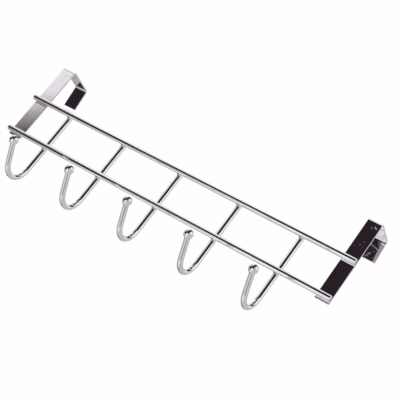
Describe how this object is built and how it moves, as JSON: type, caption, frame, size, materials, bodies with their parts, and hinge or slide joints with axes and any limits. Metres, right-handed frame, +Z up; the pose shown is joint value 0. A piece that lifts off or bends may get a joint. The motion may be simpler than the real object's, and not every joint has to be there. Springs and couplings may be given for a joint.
{
  "type": "kitchen hook rail",
  "caption": "Over-door hook rail of chromed steel: two straight wire rails carried by two folded strap hangers, with welded J-shaped wire hooks that end in balls.",
  "frame": {"origin": "the inside corner of the hangers, where the door's front top edge seats: the straps' backs lie in Y = 0, the top plates' undersides start at Z = 0, and X = 0 is the middle of the rails", "axes": "+X along the rails, to the right seen from the front; +Y back through the door; +Z up, with the rail hung"},
  "size_m": [0.3055, 0.0758, 0.1138],
  "materials": {
    "rail_chrome": "bright plated",
    "hook_chrome": "bright plated",
    "ball_chrome": "mirror plated",
    "strap_chrome": "bright plated over fine rolling marks"
  },
  "bodies": {
    "root": {"ball_tip_1": "ball_chrome", "ball_tip_2": "ball_chrome", "ball_tip_3": "ball_chrome", "ball_tip_4": "ball_chrome", "ball_tip_5": "ball_chrome", "hook_wire_1": "hook_chrome", "hook_wire_2": "hook_chrome", "hook_wire_3": "hook_chrome", "hook_wire_4": "hook_chrome", "hook_wire_5": "hook_chrome", "left_hanger": "strap_chrome", "lower_rail": "rail_chrome", "right_hanger": "strap_chrome", "upper_rail": "rail_chrome"}
  },
  "joints": []
}
